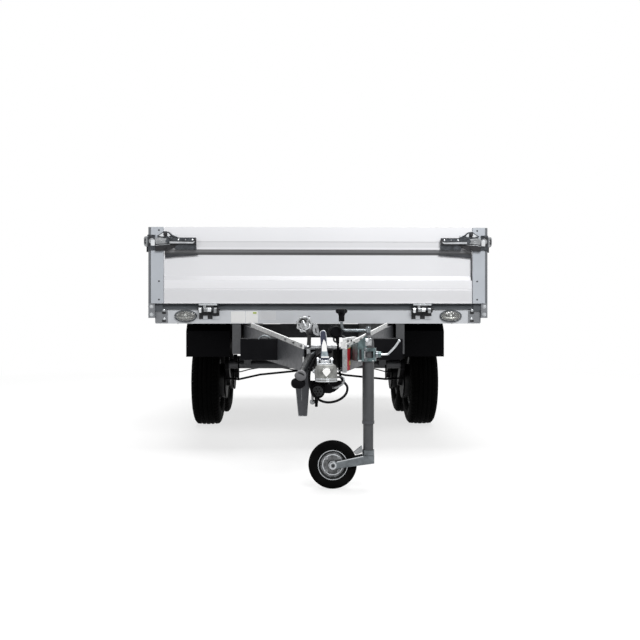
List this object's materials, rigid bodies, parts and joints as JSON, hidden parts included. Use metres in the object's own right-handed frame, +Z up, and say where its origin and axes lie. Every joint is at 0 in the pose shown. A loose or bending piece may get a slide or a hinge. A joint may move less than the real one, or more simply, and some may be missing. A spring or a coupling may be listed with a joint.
{
  "type": "utility trailer",
  "caption": "Braked drop-side flatbed trailer on tandem axles, with a V drawbar, ball coupling and a winding jockey wheel; all boards fold down.",
  "frame": {"origin": "on the ground below the middle of the trailer's length and width", "axes": "+X to the right of someone facing the trailer's front, +Y from the drawbar towards the tail, +Z up"},
  "size_m": [1.86, 4.354, 1.186],
  "materials": {
    "board_aluminium": "clear anodised satin extrusion",
    "rail_aluminium": "satin extrusion",
    "plywood": "phenolic film-faced plywood",
    "galvanised": "hot-dip galvanised steel",
    "zinc": "bright zinc plate",
    "cast_zinc": "zinc-plated casting",
    "seal_rubber": "matte extruded rubber",
    "bellows_rubber": "matte rubber",
    "lamp_glass": "clear lamp lens",
    "lamp_red": "red lamp lens",
    "black_plastic": "moulded plastic",
    "tyre": "moulded tyre rubber",
    "rim_paint": "silver painted steel",
    "brake_cable": "black cable sheath",
    "cable_sheath": "black cable sheath"
  },
  "bodies": {
    "chassis": {"end_rails": "rail_aluminium", "side_rails": "rail_aluminium", "load_floor": "plywood", "cross_members": "galvanised", "main_beams": "galvanised", "corner_posts": "rail_aluminium", "corner_brackets": "galvanised", "bed_seals": "seal_rubber", "post_catches": "zinc", "rail_hinges": "zinc", "drawbar_arms": "galvanised", "overrun_housing": "cast_zinc", "cross_plate": "galvanised", "coupling_bellows": "bellows_rubber", "coupling_head": "cast_zinc", "coupling_handle": "zinc", "handbrake_lever": "black_plastic", "cast_cap": "zinc", "park_bracket": "zinc", "park_socket": "black_plastic", "cable_gland": "black_plastic", "support_bracket": "galvanised", "wheel_chocks": "black_plastic", "axle_beams": "galvanised", "swing_arms": "galvanised", "brake_lines": "brake_cable", "mudguards": "black_plastic", "front_lamps": "lamp_glass", "rear_bar": "galvanised", "rear_lamps": "lamp_red", "jockey_clamp": "zinc", "clamp_handle": "zinc", "jockey_outer_tube": "galvanised", "jockey_crank": "zinc", "crank_knob": "black_plastic", "connecting_cable": "cable_sheath", "plug": "black_plastic"},
    "front_board": {"front_board": "board_aluminium", "front_fittings": "zinc"},
    "tail_board": {"tail_board": "board_aluminium", "tail_fittings": "zinc"},
    "left_board": {"left_board": "board_aluminium", "left_fittings": "zinc"},
    "right_board": {"right_board": "board_aluminium", "right_fittings": "zinc"},
    "front_left_wheel": {"front_left_tyre": "tyre", "front_left_rim": "rim_paint"},
    "front_right_wheel": {"front_right_tyre": "tyre", "front_right_rim": "rim_paint"},
    "rear_left_wheel": {"rear_left_tyre": "tyre", "rear_left_rim": "rim_paint"},
    "rear_right_wheel": {"rear_right_tyre": "tyre", "rear_right_rim": "rim_paint"},
    "jockey_leg": {"jockey_inner_tube": "galvanised"},
    "jockey_swivel": {"jockey_fork": "zinc"},
    "jockey_wheel": {"jockey_tyre": "tyre", "jockey_rim": "zinc"}
  },
  "joints": [
    {"name": "front_board_hinge", "type": "hinge", "parent": "chassis", "child": "front_board", "pos_m": [0, -0.962, 0.752], "axis": [1, 0, 0], "range_deg": [0, 90]},
    {"name": "tail_board_hinge", "type": "hinge", "parent": "chassis", "child": "tail_board", "pos_m": [0, 2.156, 0.752], "axis": [-1, 0, 0], "range_deg": [0, 180]},
    {"name": "left_board_hinge", "type": "hinge", "parent": "chassis", "child": "left_board", "pos_m": [-0.909, 0.597, 0.752], "axis": [0, -1, 0], "range_deg": [0, 180]},
    {"name": "right_board_hinge", "type": "hinge", "parent": "chassis", "child": "right_board", "pos_m": [0.909, 0.597, 0.752], "axis": [0, 1, 0], "range_deg": [0, 180]},
    {"name": "front_left_wheel_spin", "type": "hinge", "parent": "chassis", "child": "front_left_wheel", "pos_m": [-0.705, 0.257, 0.289], "axis": [1, 0, 0], "continuous": true},
    {"name": "front_right_wheel_spin", "type": "hinge", "parent": "chassis", "child": "front_right_wheel", "pos_m": [0.705, 0.257, 0.289], "axis": [1, 0, 0], "continuous": true},
    {"name": "rear_left_wheel_spin", "type": "hinge", "parent": "chassis", "child": "rear_left_wheel", "pos_m": [-0.705, 0.997, 0.289], "axis": [1, 0, 0], "continuous": true},
    {"name": "rear_right_wheel_spin", "type": "hinge", "parent": "chassis", "child": "rear_right_wheel", "pos_m": [0.705, 0.997, 0.289], "axis": [1, 0, 0], "continuous": true},
    {"name": "jockey_wind", "type": "slide", "parent": "chassis", "child": "jockey_leg", "axis": [0, 0, 1], "range_m": [0, 0.095]},
    {"name": "jockey_swivel_turn", "type": "hinge", "parent": "jockey_leg", "child": "jockey_swivel", "pos_m": [0.18, -1.953, 0.16], "axis": [0, 0, 1], "continuous": true},
    {"name": "jockey_wheel_spin", "type": "hinge", "parent": "jockey_swivel", "child": "jockey_wheel", "pos_m": [0.033, -1.953, 0.1], "axis": [0, 1, 0], "continuous": true}
  ]
}
